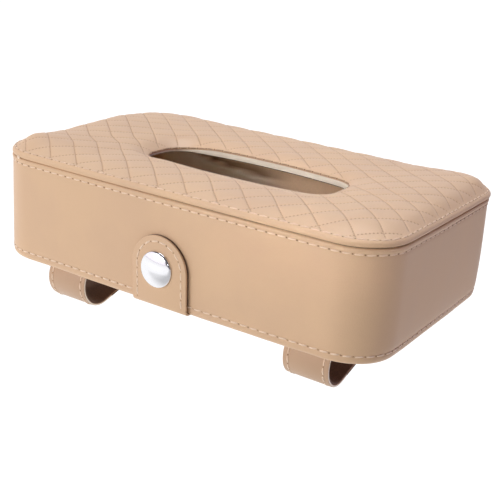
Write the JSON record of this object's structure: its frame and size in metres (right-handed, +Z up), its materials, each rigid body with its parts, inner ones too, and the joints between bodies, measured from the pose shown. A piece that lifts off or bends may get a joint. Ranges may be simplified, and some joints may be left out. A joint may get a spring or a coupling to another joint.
{
  "type": "car tissue holder",
  "caption": "Leather-covered rectangular tissue box for a car, with a padded quilted lid round a long slot, a snap tab, a bottom door and visor straps.",
  "frame": {"origin": "centre of the case's underside, on the bottom door's outer face", "axes": "+X along the case's length, -Y towards the front with the snap tab, +Z up through the tissue slot"},
  "size_m": [0.2322, 0.1514, 0.09],
  "materials": {
    "leather": "fine-grained soft satin",
    "quilted_leather": "quilted, fine-grained soft satin",
    "dark_backing": "suede-like matt",
    "cream_trim": "satin",
    "lining_cloth": "matt napped cloth",
    "board": "raw fibreboard",
    "foam": "open-cell foam",
    "chrome": "polished",
    "steel": "plain plated",
    "hook_and_loop": "dense short pile"
  },
  "bodies": {
    "case": {"wall_cover": "leather", "wall_board": "board", "wall_lining": "lining_cloth", "seam_piping": "leather", "lid_board": "board", "lid_lining": "lining_cloth", "lid_padding": "foam", "lid_cover": "quilted_leather", "slot_frame": "cream_trim", "snap_plate": "steel", "snap_washer": "steel", "rear_hinge_wall_leaf": "leather"},
    "bottom_door": {"door_cover": "leather", "door_board": "board", "door_lining": "lining_cloth", "rear_hinge_door_leaf": "leather", "tab_root": "leather", "left_strap_loop_leather": "leather", "left_strap_loop_backing": "dark_backing", "left_loop_patch": "hook_and_loop", "right_strap_loop_leather": "leather", "right_strap_loop_backing": "dark_backing", "right_loop_patch": "hook_and_loop"},
    "snap_tab": {"tab_leather": "leather", "tab_backing": "dark_backing", "snap_cap": "chrome", "snap_magnet": "steel"},
    "left_strap_tail": {"left_strap_tail_leather": "leather", "left_strap_tail_backing": "dark_backing", "left_hook_patch": "hook_and_loop"},
    "right_strap_tail": {"right_strap_tail_leather": "leather", "right_strap_tail_backing": "dark_backing", "right_hook_patch": "hook_and_loop"}
  },
  "joints": [
    {"name": "door_hinge", "type": "hinge", "parent": "bottom_door", "child": "case", "pos_m": [0, 0.068, -0.00045], "axis": [-1, 0, 0], "range_deg": [0, 120]},
    {"name": "tab_fold", "type": "hinge", "parent": "bottom_door", "child": "snap_tab", "pos_m": [0.001, -0.07445, -0.0009], "axis": [1, 0, 0], "range_deg": [0, 135]},
    {"name": "left_strap_fold", "type": "hinge", "parent": "bottom_door", "child": "left_strap_tail", "pos_m": [-0.076, -0.03983, -0.02623], "axis": [-1, 0, 0], "range_deg": [0, 105]},
    {"name": "right_strap_fold", "type": "hinge", "parent": "bottom_door", "child": "right_strap_tail", "pos_m": [0.076, -0.03983, -0.02623], "axis": [-1, 0, 0], "range_deg": [0, 105]}
  ]
}
